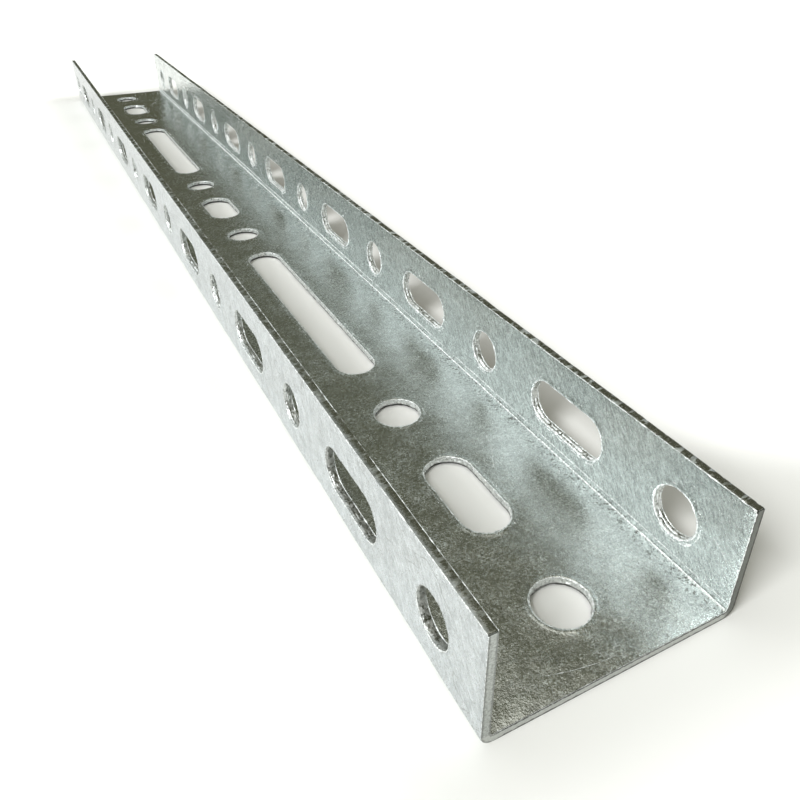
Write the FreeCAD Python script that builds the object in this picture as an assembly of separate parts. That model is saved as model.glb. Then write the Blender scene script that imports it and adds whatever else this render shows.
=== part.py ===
"""Perforated U-channel: one length of galvanised sheet steel, bent to a U and punched in all three walls.

The strip is bent up along both sides, which gives a flat web between two flanges. The web has a
repeating group of holes: a round one, a slot, a round one and a long slot. Each flange has a round
hole and a slot in turn. All rows keep one pitch, so the holes of the three walls lie side by side.
The piece was cut to length from longer stock, so its ends are plain square cuts.

Frame: X across the web, Y along the length, Z up. The origin is in the middle of the face that the
channel lies on. The end that shows nearest in the picture is the one at -Y. Sizes are millimetres.
"""

import FreeCAD
import Part

import math
import os

# Section of the bent strip
width = 65.0
height = 31.0
sheet = 2.2
inside_bend = 0.8
lip_rounding = 0.4

# Length of the piece, and where the holes come along it
length = 600.0
pitch = 40.0
first_hole = 18.5
least_end_strip = 4.0

# Holes in the web
web_hole_width = 14.0
web_slot_length = 31.0
long_slot_width = 13.5
long_slot_length = 110.0

# Holes in the flanges
flange_hole_width = 13.0
flange_slot_length = 30.0
flange_hole_height = height / 2

# How far a punch reaches past the wall that it cuts
punch_overrun = 1.0

near_end = -length / 2
half_width = width / 2
outside_bend = inside_bend + sheet

# Each punch is given as its length along the channel and its width
web_round = (web_hole_width, web_hole_width)
web_slot = (web_slot_length, web_hole_width)
long_slot = (long_slot_length, long_slot_width)
flange_round = (flange_hole_width, flange_hole_width)
flange_slot = (flange_slot_length, flange_hole_width)

# A row repeats its group of punches: for each one, the pitches from the group's start
WEB_GROUP = {0: web_round, 1: web_slot, 2: web_round, 4: long_slot}
WEB_GROUP_PITCHES = 6
FLANGE_GROUP = {0: flange_round, 1: flange_slot}
FLANGE_GROUP_PITCHES = 2


def vector(x, y, z):
    return FreeCAD.Vector(x, y, z)


def straight(start, end):
    """A straight edge of the section between two (x, z) points."""
    return Part.LineSegment(vector(start[0], near_end, start[1]), vector(end[0], near_end, end[1])).toShape()


def bend(centre, radius, start_angle, end_angle):
    """A round edge of the section about centre, with angles in degrees from +X towards +Z."""
    angles = (start_angle, (start_angle + end_angle) / 2, end_angle)
    points = []
    for angle in angles:
        turn = math.radians(angle)
        across = centre[0] + radius * math.cos(turn)
        up = centre[1] + radius * math.sin(turn)
        points.append(vector(across, near_end, up))
    return Part.Arc(*points).toShape()


def flange_edges():
    """Half of the section's outline, from the underside's middle round the right flange to the web's top."""
    outside = half_width
    inside = half_width - sheet
    bend_x = half_width - outside_bend
    lip_z = height - lip_rounding
    return [
        straight((0, 0), (bend_x, 0)),
        bend((bend_x, outside_bend), outside_bend, 270, 360),
        straight((outside, outside_bend), (outside, lip_z)),
        bend((outside - lip_rounding, lip_z), lip_rounding, 0, 90),
        straight((outside - lip_rounding, height), (inside + lip_rounding, height)),
        bend((inside + lip_rounding, lip_z), lip_rounding, 90, 180),
        straight((inside, lip_z), (inside, outside_bend)),
        bend((bend_x, outside_bend), inside_bend, 360, 270),
        straight((bend_x, sheet), (0, sheet)),
    ]


def bent_strip():
    """The unpunched channel: the section's right half and its mirror image, drawn out along the length."""
    right = flange_edges()
    left = [edge.mirror(vector(0, 0, 0), vector(1, 0, 0)) for edge in right]
    outline = Part.Wire(Part.__sortEdges__(right + left))
    strip = Part.Face(outline).extrude(vector(0, length, 0))
    return strip.removeSplitter()


def cutter(punch, start, travel):
    """The space that a punch clears, from start along the vector travel."""
    long, wide = punch
    if long <= wide:
        return Part.makeCylinder(wide / 2, travel.Length, start, travel)
    direction = vector(travel.x, travel.y, travel.z).normalize()
    side = direction.cross(vector(0, 1, 0)) * (wide / 2)
    run = vector(0, (long - wide) / 2, 0)
    tip = vector(0, long / 2, 0)
    outline = Part.Wire(
        [
            Part.LineSegment(start - run + side, start + run + side).toShape(),
            Part.Arc(start + run + side, start + tip, start + run - side).toShape(),
            Part.LineSegment(start + run - side, start - run - side).toShape(),
            Part.Arc(start - run - side, start - tip, start - run + side).toShape(),
        ]
    )
    return Part.Face(outline).extrude(travel)


def row(group, group_pitches):
    """Where each punch of a row comes along Y. A hole that the ends would cut into is left out."""
    holes = []
    lowest = near_end + least_end_strip
    highest = near_end + length - least_end_strip
    stations = int((length - first_hole) / pitch) + 1
    for station in range(stations):
        punch = group.get(station % group_pitches)
        if punch is None:
            continue
        place = near_end + first_hole + station * pitch
        if place - punch[0] / 2 >= lowest and place + punch[0] / 2 <= highest:
            holes.append((place, punch))
    return holes


def web_cutters():
    """The web's row, punched upwards through the web."""
    travel = vector(0, 0, sheet + 2 * punch_overrun)
    holes = row(WEB_GROUP, WEB_GROUP_PITCHES)
    return [cutter(punch, vector(0, place, -punch_overrun), travel) for place, punch in holes]


def flange_cutters():
    """The flanges' rows. Their holes face each other, so one cutter goes through both flanges."""
    start_x = -half_width - punch_overrun
    travel = vector(width + 2 * punch_overrun, 0, 0)
    holes = row(FLANGE_GROUP, FLANGE_GROUP_PITCHES)
    return [cutter(punch, vector(start_x, place, flange_hole_height), travel) for place, punch in holes]


def perforated_channel():
    return bent_strip().cut(web_cutters() + flange_cutters())


os.makedirs("parts", exist_ok=True)
perforated_channel().exportStep("parts/perforated_channel.step")
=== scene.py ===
import math
import random

import bmesh
import bpy
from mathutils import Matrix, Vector, noise


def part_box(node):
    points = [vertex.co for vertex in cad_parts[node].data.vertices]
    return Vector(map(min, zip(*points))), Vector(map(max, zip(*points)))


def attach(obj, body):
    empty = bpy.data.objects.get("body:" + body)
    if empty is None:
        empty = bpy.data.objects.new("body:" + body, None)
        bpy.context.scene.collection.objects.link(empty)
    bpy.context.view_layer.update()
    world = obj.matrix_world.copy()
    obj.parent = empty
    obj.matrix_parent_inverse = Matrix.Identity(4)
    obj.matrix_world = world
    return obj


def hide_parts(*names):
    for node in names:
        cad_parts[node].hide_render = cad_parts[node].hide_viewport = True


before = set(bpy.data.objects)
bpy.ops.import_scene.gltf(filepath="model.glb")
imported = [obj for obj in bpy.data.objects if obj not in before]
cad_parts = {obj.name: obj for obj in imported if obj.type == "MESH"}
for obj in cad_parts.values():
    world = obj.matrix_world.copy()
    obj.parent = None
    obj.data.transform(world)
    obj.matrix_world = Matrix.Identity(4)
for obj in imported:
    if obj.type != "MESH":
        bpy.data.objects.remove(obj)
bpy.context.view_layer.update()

# The channel is one strip of sheet steel. It is punched flat, bent up along both sides to a U, dipped
# in molten zinc and sawn to length. So every hole has a bead of zinc round its rim and lumps of it on
# its wall, the sheared lips are ribbed, and only the sawn ends show the bare cut through the sheet.
MM = 0.001
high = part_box("perforated_channel")[1]
half_width = high.x / MM
half_length = high.y / MM
height = high.z / MM
sheet = 2.2
inside_bend = 0.8
outside_bend = inside_bend + sheet
lip_rounding = 0.15
lip_band = 0.8
lip_start = height - lip_band
web_edge = half_width - outside_bend
pitch = 40.0
end_to_first_hole = 18.5
first_hole = -half_length + end_to_first_hole
stations = 15
flange_hole_height = height / 2
flange_round = (13.0, 13.0)
flange_slot = (30.0, 13.0)
web_round = (14.0, 14.0)
web_slot = (31.0, 14.0)
long_slot = (110.0, 13.5)
flange_punches = [flange_slot if station % 2 else flange_round for station in range(stations)]
web_punches = {0: web_round, 1: web_slot, 2: web_round, 4: long_slot}
web_group_pitches = 6

# How finely the mesh is divided: the nearer to the picture's near end, the finer
nearest_divisions = 46
divisions_lost = 3
least_divisions = 18
web_divisions = 24
flange_divisions = 16
bend_divisions = 5
lip_divisions = 2
end_bevel = 0.22

# The rim of a hole, from the flat sheet to the hole's wall: how far outside the edge, and the share of
# the bead's height there
bead_profile = ((1.5, 0.0), (0.95, 0.5), (0.5, 1.0), (0.12, 0.7))
bead_height = 0.15
spread_shares = (1.0, 0.7, 0.4, 0.17)

# Zinc swells into lumps. Each kind of lump is given as its strength, its size in mm and its seed.
rim_swells = ((0.6, 2.2, 1), (0.5, 0.8, 2))
rim_creeps = ((0.22, 1.1, 3),)
wall_swells = ((0.9, 1.6, 4), (0.7, 0.8, 5))
ridge_swells = ((1.2, 3.0, 6),)
least_swell = 0.1
creep_lost_on_top = 0.3

# The hole's wall, from its face inwards: the depth, and how far a ridge or a groove stands out there.
# The punch sheared the upper part smooth and tore the rest, and the zinc follows that.
wall_profile = ((0.3, 0.06), (0.8, -0.12), (1.35, 0.24), (1.8, 0.04))
wall_lump = 0.28
wall_lump_start = 0.1
wall_coat = 0.05
steady_ridge = 0.8


def web_point(across, along, depth):
    return Vector((across, along, sheet - depth))


def right_point(across, along, depth):
    return Vector((half_width - sheet + depth, along, across))


def left_point(across, along, depth):
    return Vector((-half_width + sheet - depth, along, across))


def on_edge(distance, punch, outward):
    """A point outside the edge of a round-ended hole, at a distance round it from its +across side."""
    long, wide = punch
    radius = wide / 2
    run = (long - wide) / 2
    arc = math.pi * radius
    rest = (distance + run) % (2 * arc + 4 * run)
    side = 1
    if rest >= 2 * run + arc:
        rest -= 2 * run + arc
        side = -1
    if rest <= 2 * run:
        return side * (radius + outward), side * (rest - run)
    angle = (rest - 2 * run) / radius
    return (
        side * (radius + outward) * math.cos(angle),
        side * (run + (radius + outward) * math.sin(angle)),
    )


def lumpy(place, size, seed):
    """Smooth noise from -1 to 1 whose lumps are about `size` mm across."""
    return noise.noise(place / size + Vector((seed * 17.3, seed * 5.1, seed * 9.7)))


def lumps(place, swells):
    """Several kinds of lumps together, each as its strength, its size and its seed."""
    return sum(strength * lumpy(place, size, seed) for strength, size, seed in swells)


class Sheet:
    """The channel's mesh while it grows: its points in millimetres and its faces."""

    def __init__(self):
        self.points = []
        self.faces = []

    def row(self, points):
        start = len(self.points)
        self.points.extend(points)
        return list(range(start, len(self.points)))

    def join(self, first, second, closed=False):
        """A band of faces between two rows of as many points."""
        count = len(first)
        for index in range(count if closed else count - 1):
            after = (index + 1) % count
            self.faces.append((first[index], first[after], second[after], second[index]))


skin = Sheet()
wall_faces = set()


def punched_cell(point, across, along, centre, punch, across_steps, along_steps):
    """The sheet round one hole: rings from the cell's edge to the rim, through the hole, and out again
    on the other side."""
    corners = ((1, 0), (1, 1), (0, 1), (0, 0))
    counts = (along_steps, across_steps, along_steps, across_steps)
    edge = []
    for side, count in enumerate(counts):
        start, end = corners[side], corners[(side + 1) % 4]
        for step in range(count):
            share = step / count
            a = across[0] + (across[1] - across[0]) * (start[0] + (end[0] - start[0]) * share)
            b = along[0] + (along[1] - along[0]) * (start[1] + (end[1] - start[1]) * share)
            edge.append((a, b))
    count = len(edge)
    lap = math.pi * punch[1] + 2 * (punch[0] - punch[1])

    def rim(index, outward):
        a, b = on_edge((index - along_steps / 2) * lap / count, punch, outward)
        return a + centre[0], b + centre[1]

    under = point is web_point
    rings = []
    for face_depth, outside in ((0.0, -1), (sheet, 1)):
        face_rings = []
        for share in spread_shares:
            ring = []
            for index in range(count):
                inner = rim(index, bead_profile[0][0])
                a = inner[0] + (edge[index][0] - inner[0]) * share
                b = inner[1] + (edge[index][1] - inner[1]) * share
                ring.append(point(a, b, face_depth))
            face_rings.append(ring)
        for outward, share in bead_profile:
            ring = []
            for index in range(count):
                spot = point(*rim(index, 0.0), face_depth)
                swell = max(least_swell, 1 + lumps(spot, rim_swells))
                rise = 0.0 if under and outside == 1 else bead_height * share * swell
                creep = lumps(spot, rim_creeps) * (1 - share * creep_lost_on_top)
                ring.append(point(*rim(index, outward + creep), face_depth + outside * rise))
            face_rings.append(ring)
        rings.append(face_rings)
    wall = []
    for depth, ridge in wall_profile:
        ring = []
        for index in range(count):
            spot = point(*rim(index, 0.0), depth)
            lump = wall_lump * max(0.0, wall_lump_start + lumps(spot, wall_swells))
            ridge_here = ridge * (steady_ridge + lumps(spot, ridge_swells))
            ring.append(point(*rim(index, -wall_coat - ridge_here - lump), depth))
        wall.append(ring)
    ordered = rings[0] + wall + rings[1][::-1]
    rows = [skin.row(ring) for ring in ordered]
    for index, (first, second) in enumerate(zip(rows, rows[1:])):
        start = len(skin.faces)
        skin.join(first, second, closed=True)
        if len(rings[0]) <= index + 1 <= len(rings[0]) + len(wall):
            wall_faces.update(range(start, len(skin.faces)))


station_divisions = []
for station in range(stations):
    station_divisions.append(max(least_divisions, nearest_divisions - divisions_lost * station))
station_edges = [-half_length + end_bevel]
station_edges += [first_hole + (station + 0.5) * pitch for station in range(stations - 1)]
station_edges += [half_length - end_bevel]
flange_across = (outside_bend, lip_start)
for station in range(stations):
    along = (station_edges[station], station_edges[station + 1])
    steps = station_divisions[station]
    centre = (flange_hole_height, first_hole + station * pitch)
    punch = flange_punches[station]
    for point in (left_point, right_point):
        punched_cell(point, flange_across, along, centre, punch, flange_divisions, steps)
for station in range(stations):
    punch = web_punches.get(station % web_group_pitches)
    if punch is None:
        continue
    reach = 1 if punch is long_slot else 0
    along = (station_edges[station - reach], station_edges[station + reach + 1])
    steps = sum(station_divisions[station - reach:station + reach + 1])
    centre = (0.0, first_hole + station * pitch)
    punched_cell(web_point, (-web_edge, web_edge), along, centre, punch, web_divisions, steps)

# The long runs between the punched walls: both bends and both lips
runs = []
for station in range(stations):
    start, end = station_edges[station], station_edges[station + 1]
    steps = station_divisions[station]
    runs += [start + (end - start) * step / steps for step in range(steps)]
runs.append(station_edges[-1])


def bend_arc(radius, side):
    """One surface of a bend, from the flange to the web, as (x, z) points."""
    points = []
    for step in range(bend_divisions + 1):
        turn = math.pi / 2 * step / bend_divisions
        across = side * (web_edge + radius * math.cos(turn))
        points.append((across, outside_bend - radius * math.sin(turn)))
    return points


for side in (-1, 1):
    for radius in (inside_bend, outside_bend):
        rows = [skin.row([Vector((x, y, z)) for y in runs]) for x, z in bend_arc(radius, side)]
        for first, second in zip(rows, rows[1:]):
            skin.join(first, second)

fine_runs = []
for start, end in zip(runs, runs[1:]):
    fine_runs += [start + (end - start) * step / lip_divisions for step in range(lip_divisions)]
fine_runs.append(runs[-1])
lip_angles = (0, 50, 90)


def lip_profile():
    """The lip's outline over the top, from the trough side to the outside, as distance and height."""
    points = []
    for angle in lip_angles:
        turn = math.radians(angle)
        rise = height - lip_rounding + lip_rounding * math.sin(turn)
        points.append((lip_rounding - lip_rounding * math.cos(turn), rise))
    return points + [(sheet / 2, height)] + [(sheet - x, z) for x, z in points[::-1]]


# The shears left nicks slantwise across the lips, a few millimetres apart. Each kind is given as its
# depth, its size, its seed and how strong the noise has to be before it shows. The noise of the left
# side is taken far from that of the right side, so that they differ.
nicks = ((0.45, 1.5, 7, 0.22), (0.18, 0.7, 8, 0.3))
nick_slant = 0.5
side_gap = 9.0
lip_waves = ((0.06, 9.0, 9),)


def lip_drop(side, y, outward):
    """How far the lip's top lies below its plane at one place along it."""
    slant = Vector((side * side_gap, y + nick_slant * outward, 0.0))
    drop_here = lumps(slant, lip_waves)
    for depth, size, seed, least in nicks:
        drop_here += depth * max(0.0, lumpy(slant, size, seed) - least)
    return drop_here


for side in (-1, 1):
    inner_x = side * (half_width - sheet)
    lip_rows = []
    for outward, z in lip_profile():
        row = []
        for y in fine_runs:
            row.append(Vector((inner_x + side * outward, y, z - lip_drop(side, y, outward))))
        lip_rows.append(skin.row(row))
    for first, second in zip(lip_rows, lip_rows[1:]):
        skin.join(first, second)
    for coarse_x, fine_row in ((inner_x, lip_rows[0]), (inner_x + side * sheet, lip_rows[-1])):
        coarse = skin.row([Vector((coarse_x, y, lip_start)) for y in runs])
        for index in range(len(runs) - 1):
            fine = fine_row[index * lip_divisions:(index + 1) * lip_divisions + 1]
            skin.faces.append((coarse[index], coarse[index + 1], *fine[::-1]))


def flat_row(ends, count):
    """Evenly spaced places from one end to the other."""
    return [ends[0] + (ends[1] - ends[0]) * step / count for step in range(count + 1)]


# The sawn ends: the two surfaces turn in over a small bevel and meet under the cut face
def end_outline(inset, top):
    """Pairs of points (x, z) through the sheet, from the left lip round to the right one."""
    inner_x = half_width - sheet + inset
    outer_x = half_width - inset
    levels = flat_row((top, outside_bend), flange_divisions)
    flange = [((-inner_x, z), (-outer_x, z)) for z in levels]
    bend = []
    for step in range(1, bend_divisions):
        turn = math.pi / 2 * step / bend_divisions
        pair = []
        for radius in (inside_bend + inset, outside_bend - inset):
            across = -web_edge - radius * math.cos(turn)
            pair.append((across, outside_bend - radius * math.sin(turn)))
        bend.append(tuple(pair))
    left = flange + bend
    web = [((x, sheet - inset), (x, inset)) for x in flat_row((-web_edge, web_edge), web_divisions)]
    right = [tuple((-x, z) for x, z in pair) for pair in left[::-1]]
    return left + web + right


def end_rows(mesh, outline, y):
    """The inner and the outer line of an end, as two rows of points."""
    lines = zip(*outline)
    return [mesh.row([Vector((x, y, z)) for x, z in line]) for line in lines]


cut_depth = 0.05
bevel_share = 0.8
for side in (-1, 1):
    outer = end_rows(skin, end_outline(0.0, lip_start), side * (half_length - end_bevel))
    inset = end_bevel * bevel_share
    face = end_rows(skin, end_outline(inset, lip_start), side * (half_length - cut_depth))
    skin.join(outer[0], face[0])
    skin.join(face[0], face[1])
    skin.join(face[1], outer[1])

# No sheet this thin is quite flat: it has slow waves and small dents, but it lies on its underside
sideways_waves = ((0.1, 24.0, 10), (0.05, 8.0, 11))
upward_waves = ((0.1, 24.0, 12), (0.05, 8.0, 13))
free_height = 1.5
skin_points = []
for spot in skin.points:
    freedom = min(1.0, max(0.0, spot.z) / free_height)
    push = Vector((lumps(spot, sideways_waves), 0.0, lumps(spot, upward_waves)))
    skin_points.append((spot + push * freedom) * MM)

skin_mesh = bpy.data.meshes.new("channel_skin")
skin_mesh.from_pydata(skin_points, [], skin.faces)
for face in skin_mesh.polygons:
    face.material_index = int(face.index in wall_faces)
skin_object = bpy.data.objects.new("channel_skin", skin_mesh)
bpy.context.scene.collection.objects.link(skin_object)

# The parts of the skin are joined into one closed mesh
weld_distance = 0.01
work = bmesh.new()
work.from_mesh(skin_mesh)
bmesh.ops.remove_doubles(work, verts=work.verts, dist=weld_distance * MM)
bmesh.ops.holes_fill(work, edges=[edge for edge in work.edges if edge.is_boundary], sides=0)
bmesh.ops.recalc_face_normals(work, faces=work.faces)
work.to_mesh(skin_mesh)
work.free()
for face in skin_mesh.polygons:
    face.use_smooth = True
skin_object.modifiers.new("crisp_flats", "WEIGHTED_NORMAL")


class Wire:
    """A socket of a material. Sums and products of wires add Math nodes, and node() adds any other."""

    def __init__(self, tree, socket=None):
        self.tree = tree
        self.socket = socket

    def node(self, kind, settings=None, inputs=None, output=0):
        """Adds a node. Its settings come first, then a value or a wire for each of its sockets."""
        made = self.tree.nodes.new(kind)
        for name, value in (settings or {}).items():
            if name == "stops":
                made.color_ramp.elements.remove(made.color_ramp.elements[1])
                made.color_ramp.elements[0].color = (*value[0][1], 1)
                for place, colour in value[1:]:
                    made.color_ramp.elements.new(place).color = (*colour, 1)
            else:
                setattr(made, name, value)
        for name, value in (inputs or {}).items():
            if isinstance(value, Wire):
                self.tree.links.new(value.socket, made.inputs[name])
            else:
                made.inputs[name].default_value = value
        return Wire(self.tree, made.outputs[output])

    def math(self, operation, *values):
        return self.node("ShaderNodeMath", {"operation": operation}, dict(enumerate(values)))

    def __add__(self, other):
        return self.math("ADD", self, other)

    def __sub__(self, other):
        return self.math("SUBTRACT", self, other)

    def __rsub__(self, other):
        return self.math("SUBTRACT", other, self)

    def __mul__(self, other):
        return self.math("MULTIPLY", self, other)

    __radd__ = __add__
    __rmul__ = __mul__


def new_finish(name):
    """An empty material, as a Wire to add nodes through and the Principled shader's inputs."""
    material = bpy.data.materials.new(name)
    material.use_nodes = True
    shader = material.node_tree.nodes["Principled BSDF"]
    return material, Wire(material.node_tree), shader.inputs


zinc, add, zinc_shader = new_finish("hot_dip_zinc")
place = add.node("ShaderNodeTexCoord", output=3)


def zinc_noise(scale, across=1.0, along=1.0, up=1.0, detail=2.0, fineness=0.6, lean=0.0):
    """Noise over the zinc, with `scale` features to the millimetre, drawn out where a factor is below 1.
    On the flanges, `lean` degrees turn the way in which it is drawn out."""
    turned = place
    if lean:
        turn = (math.radians(lean), 0, 0)
        turned = add.node("ShaderNodeMapping", {}, {"Vector": place, "Rotation": turn})
    stretch = tuple(scale * factor / MM for factor in (across, along, up))
    mapped = add.node("ShaderNodeMapping", {}, {"Vector": turned, "Scale": stretch})
    inputs = {"Vector": mapped, "Scale": 1.0, "Detail": detail, "Roughness": fineness}
    return add.node("ShaderNodeTexNoise", {}, inputs)


def above(wire, start, end):
    """0 where the wire is below start, rising to 1 where it is above end."""
    settings = {"interpolation_type": "SMOOTHSTEP"}
    return add.node("ShaderNodeMapRange", settings, {0: wire, 1: start, 2: end, 3: 0.0, 4: 1.0})


def past(wire, start, end):
    """The same for a place: the wire gives it in metres, and start and end give it in millimetres."""
    return above(wire, start * MM, end * MM)


def along_axis(axis):
    """Where a spot lies along X, Y or Z, in metres."""
    return add.node("ShaderNodeSeparateXYZ", {}, {"Vector": place}, output="XYZ".index(axis))


def blend(share, first, second):
    """A colour that goes from the first to the second as the share goes from 0 to 1."""
    first, second = ((*c, 1) if isinstance(c, tuple) else c for c in (first, second))
    return add.node("ShaderNodeMix", {"data_type": "RGBA"}, {0: share, 6: first, 7: second}, output=2)


def feed(shader, name, wire):
    """Links a wire to an input of the shader."""
    add.tree.links.new(wire.socket, shader[name])


def feed_relief(shader, relief):
    """Lets a relief, in millimetres, bump the surface."""
    bump = add.node("ShaderNodeBump", {}, {"Strength": 1.0, "Distance": MM, "Height": relief})
    feed(shader, "Normal", bump)


# Where a spot lies on the channel, as shares that fade over a few tenths or a few millimetres
level = along_axis("Z")
sideways = add.math("ABSOLUTE", along_axis("X"))
below_lip = 1 - past(level, height - 0.9, height - 0.4)
on_lip = past(level, height - 0.3, height - 0.16)
on_flange = past(level, 3.0, 5.0)
on_web = 1 - past(level, 2.6, 3.4)
outer_face = past(sideways, half_width - 0.9, half_width - 0.3)
near_bend = past(sideways, web_edge - 5.0, web_edge - 1.0) * on_web
from_left_corner = past(along_axis("X"), -28.0, -19.0)
right_side = past(along_axis("X"), 0.0, 1.0)
far_half = past(along_axis("Y"), -120.0, 100.0)
# The flanges' inner faces near the near end, which the colour below darkens as painted shade
painted_shade_near_end = (1 - past(along_axis("Y"), -295.0, -235.0)) * (1 - outer_face)

# Fine frost grain, strokes of frost in two directions that come in clusters, and slow cloudy change.
# A pair of shares says at what strength of its noise a pattern starts to show, and when it shows fully.
grain = zinc_noise(2.6)
frost = zinc_noise(1.6, detail=3.0, fineness=0.85)
brushing = zinc_noise(1.0, 0.6, 1.6, 0.4, detail=4.0, fineness=0.8, lean=35.0)
mottle = zinc_noise(0.3, detail=3.0)
waves = zinc_noise(0.07, detail=1.0)
stroke_scale = 1.1
stroke_width = 3.4
crossing_shows = (0.55, 0.67)
lengthwise_shows = (0.56, 0.69)
clusters_show = (0.36, 0.70)
crossing = above(zinc_noise(stroke_scale, along=stroke_width, detail=1.0), *crossing_shows)
lengthwise = zinc_noise(stroke_scale, across=stroke_width, up=stroke_width, detail=1.0)
lengthwise = above(lengthwise, *lengthwise_shows)
clusters = above(zinc_noise(0.12, detail=3.0), *clusters_show)
strokes = add.math("MAXIMUM", crossing, lengthwise) * (0.25 + 0.75 * clusters) * (0.1 + 0.9 * below_lip)
strokes = strokes * (0.35 + 0.65 * from_left_corner)

# Thin scratches along the contours of a slow noise, in some places only
scratch_fades = (0.004, 0.016)
scratches_show = (0.55, 0.62)
contours = add.math("ABSOLUTE", zinc_noise(0.16, along=0.5, detail=1.0) - 0.5)
scratches = (1 - above(contours, *scratch_fades)) * above(zinc_noise(0.07, detail=1.0), *scratches_show)

# Bright nicks on the lips, faint upright streaks where zinc drained down the flanges, and dark pits
lip_nicks_show = (0.53, 0.59)
streaks_show = (0.50, 0.72)
specks_show = (0.70, 0.76)
bend_pits_show = (0.565, 0.60)
lip_nicks = above(zinc_noise(0.5, across=0.35, up=0.35), *lip_nicks_show)
lip_nicks = lip_nicks * on_lip * (0.5 + 0.5 * right_side)
streaks = above(zinc_noise(0.5, up=0.12, detail=3.0), *streaks_show)
specks = above(zinc_noise(1.1), *specks_show)
bend_pits = above(zinc_noise(1.2, detail=3.0), *bend_pits_show) * near_bend

# The zinc's colour: from grey to bright, greyer on the outer faces as painted shade, with lips, pits and
# scratches on it
grey_zinc = (0.55, 0.58, 0.572)
bright_zinc = (0.93, 0.985, 0.97)
painted_shade_outer_grey = (0.44, 0.465, 0.475)
painted_shade_outer_bright = (0.74, 0.775, 0.80)
near_end_painted_shade_zinc = (0.50, 0.53, 0.52)
painted_shade_lip_zinc = (0.42, 0.43, 0.40)
pitted_zinc = (0.15, 0.15, 0.13)
scratched_zinc = (0.25, 0.26, 0.25)
frost_contrast = 3.0 + 2.5 * far_half
brushing_contrast = 6.0 * on_flange + 4.0 * far_half
fine_change = (frost - 0.5) * frost_contrast + (brushing - 0.5) * brushing_contrast
cloud = mottle + fine_change * (1 - 0.5 * outer_face) - streaks * 0.2
tone = blend(cloud, grey_zinc, bright_zinc)
# Painted shade: the outer faces take a darker copy of the zinc's colour
tone = blend(outer_face, tone, blend(cloud, painted_shade_outer_grey, painted_shade_outer_bright))
# Painted shade: the flanges' inner faces grow darker towards the near end
tone = blend(painted_shade_near_end * on_flange * 0.28, tone, near_end_painted_shade_zinc)
# Painted shade: the lips take a darker colour, except at their nicks
tone = blend(on_lip * 0.5 - lip_nicks * 0.5, tone, painted_shade_lip_zinc)
tone = blend(add.math("MAXIMUM", specks, bend_pits) * 0.85, tone, pitted_zinc)
tone = blend(scratches * outer_face * 0.5, tone, scratched_zinc)
zinc_shader["Metallic"].default_value = 1.0
feed(zinc_shader, "Base Color", tone)

# Frost makes it rougher. The far half froze smoother, and so it mirrors more.
smooth_zinc = 0.155
stroke_frosting = 0.26
streak_frosting = 0.05
grain_frosting = 1.1
sparkle = add.math("MAXIMUM", frost - 0.5, 0.0)
frosting = strokes * stroke_frosting + streaks * streak_frosting + sparkle * grain_frosting
roughness = smooth_zinc + frosting * (1 - 0.4 * far_half) - 0.065 * far_half
roughness = roughness + lip_nicks * 0.35 + outer_face * 0.10 + on_lip * 0.05
feed(zinc_shader, "Roughness", roughness)
grain_height = 0.06
brushing_height = 0.05
stroke_height = 0.012
mottle_height = 0.12 + 0.16 * far_half
wave_relief = 0.5
relief = (grain * grain_height + brushing * brushing_height) * (1 - 0.3 * far_half)
relief = relief + strokes * stroke_height + mottle * mottle_height + waves * wave_relief
feed_relief(zinc_shader, relief)

# On the walls of the holes the zinc drained last and froze into a rough, bright crust. Painted shade
# darkens it on the left side, most near the near end, and a painted shadow darkens the lower edge of the
# web's holes.
crust_scale = 1.4
crust_contrast = 4.0
crust_height = 0.16
grey_crust = (0.60, 0.63, 0.62)
bright_crust = (0.98, 1.0, 0.99)
painted_rim_shadow = (0.03, 0.03, 0.025)
painted_shade_crust = (0.22, 0.225, 0.205)
drained, add, drained_shader = new_finish("drained_zinc")
place = add.node("ShaderNodeTexCoord", output=3)
crust = zinc_noise(crust_scale, detail=3.0)
wall_lumps = zinc_noise(0.9, detail=1.0)
lower_edge = 1 - past(along_axis("Z"), 0.7, 1.1)
left_side = 1 - past(along_axis("X"), -web_edge, 0.0)
near_holes = 1 - past(along_axis("Y"), -240.0, -200.0)
drained_tone = blend((crust - 0.5) * crust_contrast + 0.5, grey_crust, bright_crust)
# Painted shadow along the web holes' lower edge, and painted shade on the left side
drained_tone = blend(lower_edge * 0.95, drained_tone, painted_rim_shadow)
drained_tone = blend(left_side * (0.25 + 0.35 * near_holes), drained_tone, painted_shade_crust)
drained_shader["Metallic"].default_value = 1.0
feed(drained_shader, "Base Color", drained_tone)
feed(drained_shader, "Roughness", 0.42 + (crust - 0.5) * 1.6)
feed_relief(drained_shader, crust * crust_height + wall_lumps * 0.3)
for finish in (zinc, drained):
    skin_mesh.materials.append(finish)
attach(skin_object, "root")
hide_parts("perforated_channel")

# The saw cut both ends after the dip, so there the steel between the two zinc skins lies bare: dull,
# darker, with the fine marks of the blade. It is the same piece, shown as a plate let into each end.
cut_inset = 0.1
cut_plate = 0.3
cut = Sheet()
for side in (-1, 1):
    outline = end_outline(cut_inset, height - cut_inset)
    front = end_rows(cut, outline, side * half_length)
    back = end_rows(cut, outline, side * (half_length - cut_plate))
    cut.join(front[0], front[1])
    cut.join(front[1], back[1])
    cut.join(back[1], back[0])
    cut.join(back[0], front[0])
    for end in (0, -1):
        cut.faces.append((front[0][end], front[1][end], back[1][end], back[0][end]))


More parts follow.
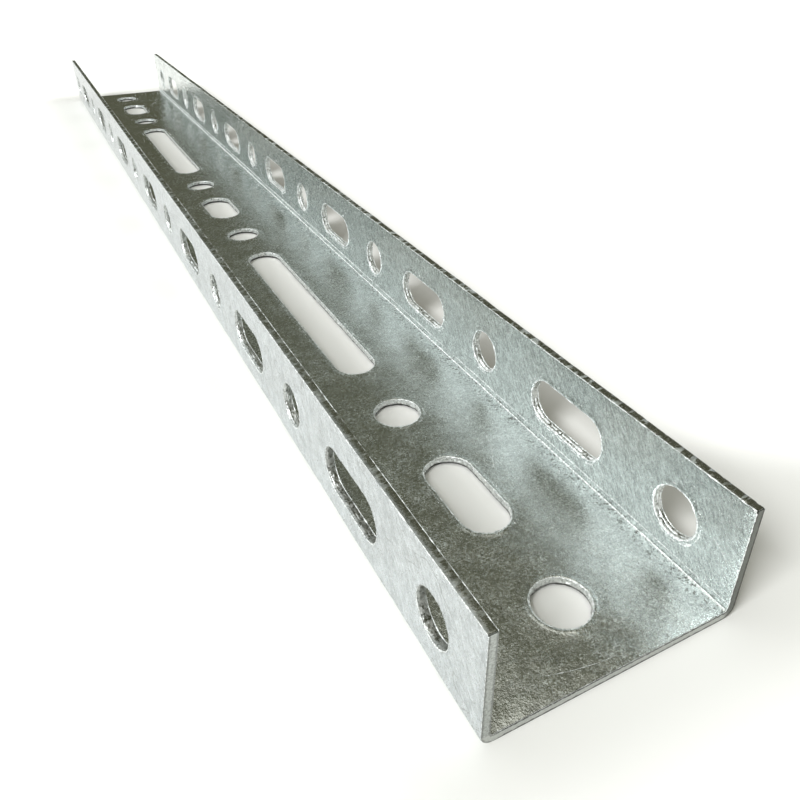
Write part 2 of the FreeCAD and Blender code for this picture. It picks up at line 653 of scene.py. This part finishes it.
def mesh_object(name, mesh, finish, rounded=False):
    """Makes an object of a grown mesh, with its faces turned outwards."""
    data = bpy.data.meshes.new(name)
    data.from_pydata([point * MM for point in mesh.points], [], mesh.faces)
    work = bmesh.new()
    work.from_mesh(data)
    bmesh.ops.recalc_face_normals(work, faces=work.faces)
    work.to_mesh(data)
    work.free()
    for face in data.polygons:
        face.use_smooth = rounded
    data.materials.append(finish)
    made = bpy.data.objects.new(name, data)
    bpy.context.scene.collection.objects.link(made)
    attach(made, "root")


bare, add, bare_shader = new_finish("sawn_steel")
place = add.node("ShaderNodeTexCoord", output=3)
blade_marks = zinc_noise(1.5, across=0.7, up=2.0)
cut_pits = above(zinc_noise(2.0), 0.60, 0.72)
cut_grain = zinc_noise(2.0, detail=3.0, fineness=0.8)

# How far a spot lies from the middle of the sheet, whose edges are coloured dark and ragged
past_web = add.math("MAXIMUM", add.math("ABSOLUTE", along_axis("X")) - web_edge * MM, 0.0)
below_bend = add.math("MINIMUM", along_axis("Z") - outside_bend * MM, 0.0)
middle_radius = inside_bend + sheet / 2
from_middle = add.math("SQRT", past_web * past_web + below_bend * below_bend) - middle_radius * MM
ragged = zinc_noise(1.2, detail=3.0)
raggedness = 1.1
cut_edge = past(add.math("ABSOLUTE", from_middle) + (ragged - 0.5) * raggedness * MM, 0.50, 0.78)

# The cut is paler along the web, and darker up the right flange than up the left one, which is painted
# shade
dark_cut = (0.28, 0.295, 0.28)
pale_cut = (0.60, 0.63, 0.61)
web_cut = (0.60, 0.615, 0.59)
painted_shade_right_cut = (0.10, 0.105, 0.09)
dark_cut_outline = (0.03, 0.03, 0.025)
cut_on_web = 1 - past(along_axis("Z"), sheet, sheet + 1.0)
up_right = past(along_axis("X"), web_edge, web_edge + 1.5)
right_of_left = past(along_axis("X"), -web_edge, -web_edge + 1.5)
cut_share = blade_marks * 1.2 - 0.1 - cut_pits * 0.5 + (cut_grain - 0.5) * 3.5
cut_tone = blend(cut_share, dark_cut, pale_cut)
cut_tone = blend(cut_on_web * 0.6, cut_tone, web_cut)
# Painted shade up the right flange
cut_tone = blend(up_right * 0.8, cut_tone, painted_shade_right_cut)
cut_tone = blend(cut_edge * (0.45 + 0.45 * right_of_left), cut_tone, dark_cut_outline)
bare_shader["Metallic"].default_value = 1.0
feed(bare_shader, "Base Color", cut_tone)
feed(bare_shader, "Roughness", 0.32 + blade_marks * 0.2)
feed_relief(bare_shader, blade_marks * 0.12)
mesh_object("sawn_faces", cut, bare)

# Zinc drains to the rim of every hole and freezes there as a lumpy bead, and again on the torn edge that
# the punch left halfway down the hole's wall. It is part of the coating, shown as rods half sunk in it.
grey_bead = (0.62, 0.65, 0.64)
frozen, add, frozen_shader = new_finish("frozen_zinc")
place = add.node("ShaderNodeTexCoord", output=3)
frozen_crust = zinc_noise(crust_scale, detail=3.0)
frozen_tone = blend((frozen_crust - 0.5) * crust_contrast + 0.5, grey_bead, bright_crust)
frozen_shader["Metallic"].default_value = 0.3
feed(frozen_shader, "Base Color", frozen_tone)
feed(frozen_shader, "Roughness", 0.30 + (frozen_crust - 0.5) * 1.2)
feed_relief(frozen_shader, frozen_crust * crust_height)
rod_sides = 6
nearly_crosswise = 0.9


def rod(mesh, path, thickness, closed):
    """A rod of zinc through the points of a path, as thick at each point as its thickness says."""
    rows = []
    count = len(path)
    for index, spot in enumerate(path):
        if closed:
            before, after = path[index - 1], path[(index + 1) % count]
        else:
            before, after = path[max(0, index - 1)], path[min(count - 1, index + 1)]
        run = (after - before).normalized()
        if abs(run.x) > nearly_crosswise:
            first_way = run.orthogonal().normalized()
        else:
            first_way = run.cross(Vector((1, 0, 0))).normalized()
        second_way = run.cross(first_way)
        ring = []
        for step in range(rod_sides):
            turn = 2 * math.pi * step / rod_sides
            outwards = first_way * math.cos(turn) + second_way * math.sin(turn)
            ring.append(spot + outwards * thickness[index])
        rows.append(mesh.row(ring))
    for first, second in zip(rows, rows[1:] + rows[:1] if closed else rows[1:]):
        mesh.join(first, second, closed=True)
    if not closed:
        mesh.faces.append(tuple(rows[0]))
        mesh.faces.append(tuple(rows[-1]))


def lap_of(punch):
    """The way round the edge of a round-ended hole."""
    return math.pi * punch[1] + 2 * (punch[0] - punch[1])


# How a bead swells, creeps along the sheet and thickens where the zinc ran down to. The seeds of the
# lumps are counted from the bead's own seed.
bead_clearance = 0.04
bead_swell = (0.9, 1.0)
bead_blob = (2.6, 0.15)
bead_creep = (0.12, 1.4)
thinnest_bead = 0.3
upper_bead = 0.55
run_down_gain = 0.75


def rim_bead(mesh, point, centre, punch, depth, steps, radius, swelling, seed, offset=bead_clearance):
    """The bead round one hole at one depth in the sheet, thicker where the zinc ran down to."""
    path = []
    thickness = []
    for index in range(steps):
        around = index * lap_of(punch) / steps
        a, b = on_edge(around, punch, offset)
        spot = point(a + centre[0], b + centre[1], depth)
        run_down = 0.5 - a / punch[1] if point is not web_point else 0.5
        blob = max(0.0, lumpy(spot, bead_blob[0], seed + 1) - bead_blob[1])
        swell = 1 + bead_swell[0] * lumpy(spot, bead_swell[1], seed) + swelling * blob
        thickness.append(radius * max(thinnest_bead, swell) * (upper_bead + run_down_gain * run_down))
        creep = bead_creep[0] * lumpy(spot, bead_creep[1], seed + 2)
        a, b = on_edge(around, punch, offset + creep)
        path.append(point(a + centre[0], b + centre[1], depth))
    rod(mesh, path, thickness, True)


# The beads' radii and depths. A splash bead lies on the sheet outside the right flange's holes, and
# those on the left flange, whose holes show their walls, are thinner, most of all near the near end.
inner_rim_radius = 0.25
outer_rim_radius = 0.12
web_rim_radius = 0.17
torn_edge_depth = 1.15
torn_edge_radius = 0.22
splash_depth = 0.12
splash_radius = 0.15
splash_offset = 1.0
few_lumps, some_lumps, many_lumps = 1.0, 2.0, 3.0
left_seed, right_seed, web_seed, splash_seed = 20, 30, 40, 50
steps_for_lap = {flange_round: 3.2, flange_slot: 4.4, web_round: 3.2, web_slot: 4.6, long_slot: 12.0}


def left_share(start, gain, most, station):
    """How thick a left bead is against a right one: more from station to station, up to a most."""
    return min(most, start + gain * station)


rim_beads = Sheet()
for station in range(stations):
    y = first_hole + station * pitch
    divisions = station_divisions[station]
    punch = flange_punches[station]
    steps = int(divisions * steps_for_lap[punch])
    centre = (flange_hole_height, y)
    for point, seed in ((left_point, left_seed), (right_point, right_seed)):
        inner_radius = inner_rim_radius
        torn_radius = torn_edge_radius
        if point is left_point:
            torn_growth = (0.3, 1.7) if punch is flange_round else (0.1, 1.0)
            inner_radius *= left_share(0.3, 0.04, 0.6, station)
            torn_radius *= left_share(0.35, *torn_growth, station)
        else:
            splash = (splash_depth, steps, splash_radius, many_lumps, splash_seed)
            rim_bead(rim_beads, point, centre, punch, *splash, offset=splash_offset)
        for depth, radius, swelling, seed_step in (
            (0.0, inner_radius, some_lumps, 0),
            (sheet, outer_rim_radius, few_lumps, 3),
            (torn_edge_depth, torn_radius, many_lumps, 6),
        ):
            rim_bead(rim_beads, point, centre, punch, depth, steps, radius, swelling, seed + seed_step)
    punch = web_punches.get(station % web_group_pitches)
    if punch is not None:
        steps = int(divisions * steps_for_lap[punch])
        for depth, swelling, seed_step in ((0.0, some_lumps, 0), (torn_edge_depth, many_lumps, 3)):
            bead = (depth, steps, web_rim_radius, swelling, web_seed + seed_step)
            rim_bead(rim_beads, web_point, (0.0, y), punch, *bead)
mesh_object("rim_beads", rim_beads, frozen, rounded=True)

# The same zinc runs along the long edges: over the burr that the shear left on the lips, in the corner of
# each bend, where it stayed as a thick line and a thinner one above it, and round the sawn ends.
edge_beads = Sheet()

# For each line on a lip: its side, how far outwards it lies on the lip, and its radius
lip_lines = ((-1, 0.06, 0.10), (1, 0.0, 0.14), (-1, sheet - 0.06, 0.14))
lip_sink = 0.05
lip_sways = ((0.05, 2.0, 50),)
lip_swells = ((1.4, 1.5, 51),)
for side, outward, radius in lip_lines:
    path = []
    thickness = []
    for y in fine_runs:
        spot = Vector((side * side_gap + outward, y, 5.0))
        z = height - lip_sink - lip_drop(side, y, outward) + lumps(spot, lip_sways)
        path.append(Vector((side * (half_width - sheet + outward), y, z)))
        thickness.append(radius * max(0.15, 0.8 + lumps(spot, lip_swells)))
    rod(edge_beads, path, thickness, False)

# For each line in a bend: how far in from the flange, how high, its radius at both ends, and how broken
bend_lines = ((0.22, sheet + 0.22, 0.20, 0.42, 0.3), (0.0, sheet + 2.1, 0.08, 0.26, 0.9))
inward_sway = ((0.05, 3.0, 61),)
upward_sway = ((0.06, 5.0, 62),)
thinnest_line = 0.2
for side in (-1, 1):
    for inward, z, near_radius, far_radius, break_up in bend_lines:
        path = []
        thickness = []
        for y in runs:
            spot = Vector((side * side_gap, y, z))
            x = half_width - sheet - inward + lumps(spot, inward_sway)
            path.append(Vector((side * x, y, z + lumps(spot, upward_sway))))
            radius = near_radius + (far_radius - near_radius) * (y + half_length) / (2 * half_length)
            thickness.append(radius * max(thinnest_line, 1 + break_up * lumpy(spot, 1.7, 63)))
        rod(edge_beads, path, thickness, False)

# Round the sawn ends the blade left a burr, which stands out most up the right flange's inner edge
end_bead_radius = 0.05
burr_radius = 0.12
end_bead_top = 0.25
end_bead_sink = 0.08
least_end_bead = 0.4
end_bead_steps = 4
end_gap = 30.0
end_seeds = (52, 53)
floor_clearance = 0.06
for side in (-1, 1):
    outline = end_outline(cut_inset, height - end_bead_top)
    for surface, seed in enumerate(end_seeds):
        path = []
        thickness = []
        line = [pair[surface] for pair in outline]
        for (first_x, first_z), (second_x, second_z) in zip(line, line[1:]):
            for step in range(end_bead_steps):
                share = step / end_bead_steps
                x = first_x + (second_x - first_x) * share
                z = first_z + (second_z - first_z) * share
                spot = Vector((x, side * end_gap, z))
                path.append(Vector((x, side * (half_length - end_bead_sink), max(floor_clearance, z))))
                burred = surface == 0 and x > web_edge and z > outside_bend
                radius = burr_radius if burred else end_bead_radius
                thickness.append(radius * max(least_end_bead, 1 + 1.1 * lumpy(spot, 0.9, seed)))
        rod(edge_beads, path, thickness, False)
mesh_object("edge_beads", edge_beads, frozen, rounded=True)

# Drops of zinc froze on the sheet round the holes and near the bends, as low domes, and later handling
# left a few long scratches, each with a thin raised edge.
drops = Sheet()
drop_places = random.Random(7)
drop_sides = 6
dome = ((1.0, 0.08), (0.75, -0.4))
dome_top = -0.65


def drop(point, across, along, radius):
    """A low dome of zinc on one face of the sheet."""
    rings = []
    for share, rise in dome:
        ring = []
        for step in range(drop_sides):
            turn = 2 * math.pi * step / drop_sides
            a = across + share * radius * math.cos(turn)
            b = along + share * radius * math.sin(turn)
            ring.append(point(a, b, rise * radius))
        rings.append(drops.row(ring))
    drops.join(rings[0], rings[1], closed=True)
    top = drops.row([point(across, along, dome_top * radius)])[0]
    for index in range(drop_sides):
        drops.faces.append((rings[1][index], rings[1][(index + 1) % drop_sides], top))
    drops.faces.append(tuple(rings[0]))


# How many drops there are at each station, how big they are, and where they may lie, in millimetres
drops_per_lap = 0.45
drops_at_bend = 12
drops_on_wall = 40
wall_drop = 0.11
rim_drop = (0.1, 0.26)
bend_drop = (0.08, 0.2)
drop_growth = 0.8
along_reach = (-19, 19)
web_reach = (8, web_edge)
flange_reach = (24, 30)
rim_reach = (0.4, 1.6)
bend_spread = 1.6
bend_gap = 0.3
for station in range(stations):
    y = first_hole + station * pitch
    walls = [(right_point, flange_hole_height, flange_punches[station])]
    walls.append((left_point, flange_hole_height, flange_punches[station]))
    if station % web_group_pitches in web_punches:
        walls.append((web_point, 0.0, web_punches[station % web_group_pitches]))
    drop_size = 1 + drop_growth * station / stations
    for count in range(drops_on_wall):
        for point, reach in ((web_point, web_reach), (right_point, flange_reach)):
            across = drop_places.uniform(*reach)
            drop(point, across, y + drop_places.uniform(*along_reach), wall_drop * drop_size)
    for point, middle, punch in walls:
        for count in range(int(drops_per_lap * lap_of(punch))):
            around = drop_places.uniform(0, lap_of(punch))
            a, b = on_edge(around, punch, drop_places.uniform(*rim_reach))
            drop(point, a + middle, b + y, drop_places.uniform(*rim_drop) * drop_size)
    for count in range(drops_at_bend):
        for side in (-1, 1):
            a = side * (web_edge - abs(drop_places.gauss(0, bend_spread)) - bend_gap)
            b = y + drop_places.uniform(*along_reach)
            drop(web_point, a, b, drop_places.uniform(*bend_drop) * drop_size)

scratch_radius = 0.045
scratch_steps = 8
thinnest_scratch = 0.3
scratch_swells = ((1.6, 0.8, 70),)
scratch_paths = (
    (web_point, (-13.4, -294.8), (-7.8, -296.2), (-2.7, -297.1), (1.4, -297.4)),
    (right_point, (16.8, -293.2), (15.3, -295.3), (13.2, -297.6)),
    (right_point, (24.0, -268.0), (21.5, -262.5), (20.0, -256.0)),
    (web_point, (12.0, -236.0), (16.0, -229.0), (18.5, -221.0)),
    (web_point, (-15.0, 131.0), (-11.0, 142.0), (-9.5, 156.0)),
)
for point, *marks in scratch_paths:
    path = []
    thickness = []
    for (a, b), (next_a, next_b) in zip(marks, marks[1:]):
        for step in range(scratch_steps):
            share = step / scratch_steps
            path.append(point(a + (next_a - a) * share, b + (next_b - b) * share, 0.0))
            swell = max(thinnest_scratch, 1 + lumps(path[-1], scratch_swells))
            thickness.append(scratch_radius * swell)
    rod(drops, path, thickness, False)
mesh_object("zinc_drops", drops, frozen, rounded=True)

# The floor is plain white paper, which the channel lies on
floor_size = 4.0
floor_corners = ((-1, -1), (1, -1), (1, 1), (-1, 1))
floor_mesh = bpy.data.meshes.new("floor")
floor_points = [(x * floor_size, y * floor_size, 0.0) for x, y in floor_corners]
floor_mesh.from_pydata(floor_points, [], [(0, 1, 2, 3)])
floor = bpy.data.objects.new("floor", floor_mesh)
bpy.context.scene.collection.objects.link(floor)
paper, add, paper_shader = new_finish("white_paper")
place = add.node("ShaderNodeTexCoord", output=3)
ray = add.node("ShaderNodeLightPath")
camera_ray = Wire(add.tree, ray.socket.node.outputs["Is Camera Ray"])
glossy_ray = Wire(add.tree, ray.socket.node.outputs["Is Glossy Ray"])
paper_shader["Base Color"].default_value = (0.81, 0.805, 0.775, 1)
paper_shader["Roughness"].default_value = 0.9
paper_shader["Specular IOR Level"].default_value = 0.1

# Away from the channel the paper glows whiter, which leaves it dimmer close round the channel as painted
# shade. To the right of the near end the glow starts further off, a painted shadow there.
side_reach = half_width + 8.0
end_reach = half_length + 4.0
painted_shadow_reach = 22.0
reach_fades = (-290.0, -230.0)
# Painted shadow: less glow to the right of the near end
near_end_painted_shadow = painted_shadow_reach * MM * (1 - past(along_axis("Y"), *reach_fades))
aside = add.math("ABSOLUTE", along_axis("X") - near_end_painted_shadow) - near_end_painted_shadow - side_reach * MM
aside = add.math("MAXIMUM", aside, 0.0)
ahead = add.math("MAXIMUM", add.math("ABSOLUTE", along_axis("Y")) - end_reach * MM, 0.0)
distance = add.math("SQRT", aside * aside + ahead * ahead)

# For each ring round the channel: how much glow it adds, and where in metres that starts and is full
glow_at_channel = 0.03
glow_rings = ((0.34, 0.0, 0.035), (0.14, 0.05, 0.5), (0.6, 0.5, 2.5))
paper_glow = glow_at_channel
for strength, start, end in glow_rings:
    paper_glow = paper_glow + strength * above(distance, start, end)
seen_or_mirrored = add.math("MAXIMUM", camera_ray, glossy_ray)
glow_tone = blend(seen_or_mirrored * paper_glow, (0.0, 0.0, 0.0), (1.0, 1.0, 1.0))
feed(paper_shader, "Emission Color", glow_tone)
paper_shader["Emission Strength"].default_value = 1.0
floor_mesh.materials.append(paper)

# The room: dark olive walls and ceiling, a window wall at the back on the left whose light fades off to
# its sides, and soft lamps. The camera itself sees the room as plain white.
world = bpy.data.worlds.new("studio")
world.use_nodes = True
bpy.context.scene.world = world
sky = Wire(world.node_tree)
background = world.node_tree.nodes["Background"]
window_wall = Vector((-0.62, 0.47, 0.63)).normalized()
dark_room = (0.106, 0.106, 0.070)
room_stops = (
    (0.0, dark_room),
    (0.60, dark_room),
    (0.80, (0.46, 0.50, 0.48)),
    (0.92, (0.92, 0.96, 0.95)),
    (1.0, (1.04, 1.07, 1.06)),
)
direction = sky.node("ShaderNodeTexCoord", output=0)
dot_product = {"operation": "DOT_PRODUCT"}
facing = sky.node("ShaderNodeVectorMath", dot_product, {0: direction, 1: window_wall}, output=1)
room = sky.node("ShaderNodeValToRGB", {"stops": room_stops}, {"Fac": facing})
seen = sky.node("ShaderNodeLightPath")
shown = sky.node("ShaderNodeMix", {"data_type": "RGBA"}, {0: seen, 6: room, 7: (1, 1, 1, 1)}, output=2)
sky.tree.links.new(shown.socket, background.inputs["Color"])


def soft_lamp(name, place, size, power, colour):
    """A square soft lamp that shines at the middle of the channel."""
    light = bpy.data.lights.new(name, "AREA")
    light.color = colour
    light.shape = "SQUARE"
    light.size = size
    light.energy = power
    lamp = bpy.data.objects.new(name, light)
    lamp.location = place
    lamp.rotation_euler = (-Vector(place)).to_track_quat("-Z", "Y").to_euler()
    bpy.context.scene.collection.objects.link(lamp)


soft_lamp("left_softbox", (-1.95, -0.9, 1.9), 1.0, 80, (0.97, 0.985, 1.0))
soft_lamp("overhead_softbox", (0, 0, 2.6), 1.8, 10, (1.0, 0.96, 0.88))

# The camera looks down along the channel from its near left corner
camera_data = bpy.data.cameras.new("camera")
camera_data.lens = 33.53
camera_data.sensor_width = 36.0
camera_data.shift_x = -0.010
camera_data.shift_y = -0.0754
camera_data.clip_start = 0.01
camera = bpy.data.objects.new("camera", camera_data)
camera.location = (-0.08134, -0.36595, 0.13419)
camera.rotation_euler = (math.radians(59.87), math.radians(0.1), math.radians(-27.405))
bpy.context.scene.collection.objects.link(camera)
bpy.context.scene.camera = camera
bpy.context.scene.view_settings.view_transform = "Standard"
